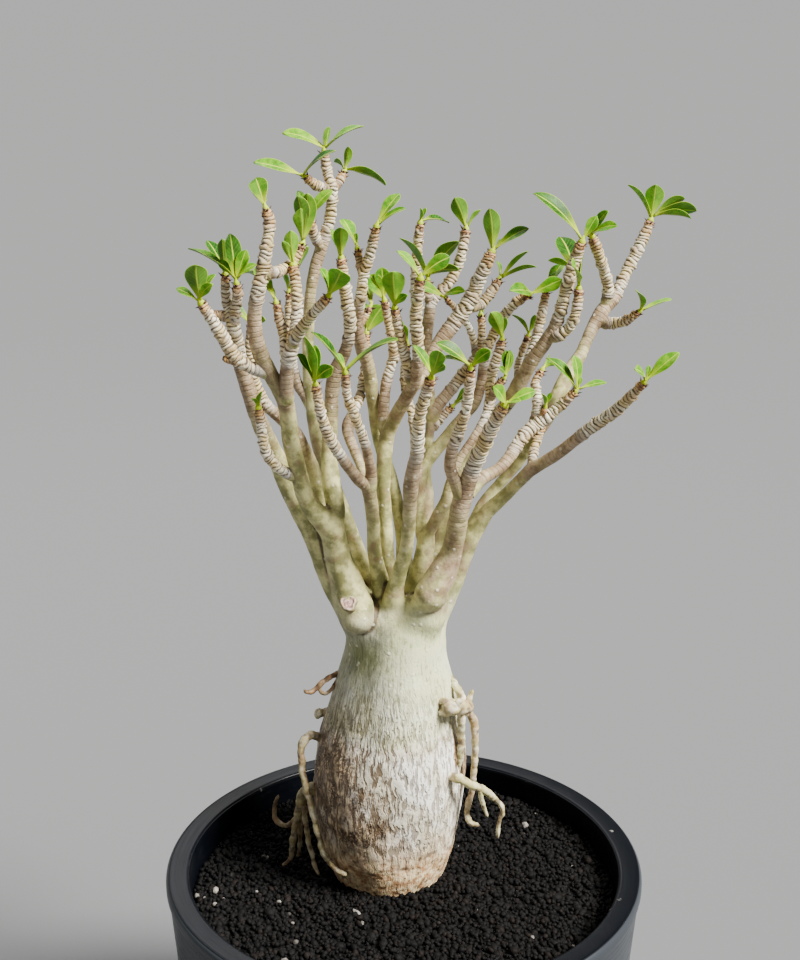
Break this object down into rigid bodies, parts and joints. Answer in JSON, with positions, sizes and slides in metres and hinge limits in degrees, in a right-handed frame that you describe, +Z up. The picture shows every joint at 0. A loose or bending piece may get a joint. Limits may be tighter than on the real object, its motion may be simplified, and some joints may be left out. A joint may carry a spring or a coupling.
{
  "type": "potted desert rose plant",
  "caption": "Potted desert rose with a swollen trunk, ringed upright twigs tipped with leaf tufts, and aerial roots, in a round plastic pot of dark grit.",
  "frame": {"origin": "centre of the pot's underside, on the surface that the pot stands on", "axes": "+Z straight up through the pot's middle, the front of the plant looks along -Y, +X to the right as seen from the front"},
  "size_m": [0.2301, 0.21, 0.4747],
  "materials": {
    "pot_plastic": "dark blue-black moulded plastic, lightly scuffed and dusty, semi-gloss",
    "grit": "loose angular black-brown grit, matt, with a few paler grains",
    "bark": "thin living bark, cream to olive grey, fissured low down, ringed by leaf scars on the twigs",
    "leaf": "fleshy yellow-green leaf with a pale midrib, satin"
  },
  "bodies": {
    "root": {"pot": "pot_plastic", "soil": "grit", "plant": "bark", "leaves_01": "leaf", "leaves_02": "leaf", "leaves_03": "leaf", "leaves_04": "leaf", "leaves_05": "leaf", "leaves_06": "leaf", "leaves_07": "leaf", "leaves_08": "leaf", "leaves_09": "leaf", "leaves_10": "leaf", "leaves_11": "leaf", "leaves_12": "leaf", "leaves_13": "leaf", "leaves_14": "leaf", "leaves_15": "leaf", "leaves_16": "leaf", "leaves_17": "leaf", "leaves_18": "leaf", "leaves_19": "leaf", "leaves_20": "leaf", "leaves_21": "leaf", "leaves_22": "leaf", "leaves_23": "leaf", "leaves_24": "leaf", "leaves_25": "leaf", "leaves_26": "leaf", "leaves_27": "leaf", "leaves_28": "leaf", "leaves_29": "leaf", "leaves_30": "leaf", "leaves_31": "leaf", "leaves_32": "leaf", "leaves_33": "leaf", "leaves_34": "leaf", "leaves_35": "leaf", "leaves_36": "leaf", "leaves_37": "leaf", "leaves_38": "leaf", "leaves_39": "leaf", "leaves_40": "leaf", "leaves_41": "leaf", "leaves_42": "leaf", "leaves_43": "leaf", "leaves_44": "leaf", "leaves_45": "leaf", "leaves_46": "leaf", "leaves_47": "leaf", "leaves_48": "leaf", "leaves_49": "leaf", "leaves_50": "leaf", "leaves_51": "leaf", "leaves_52": "leaf"}
  },
  "joints": []
}
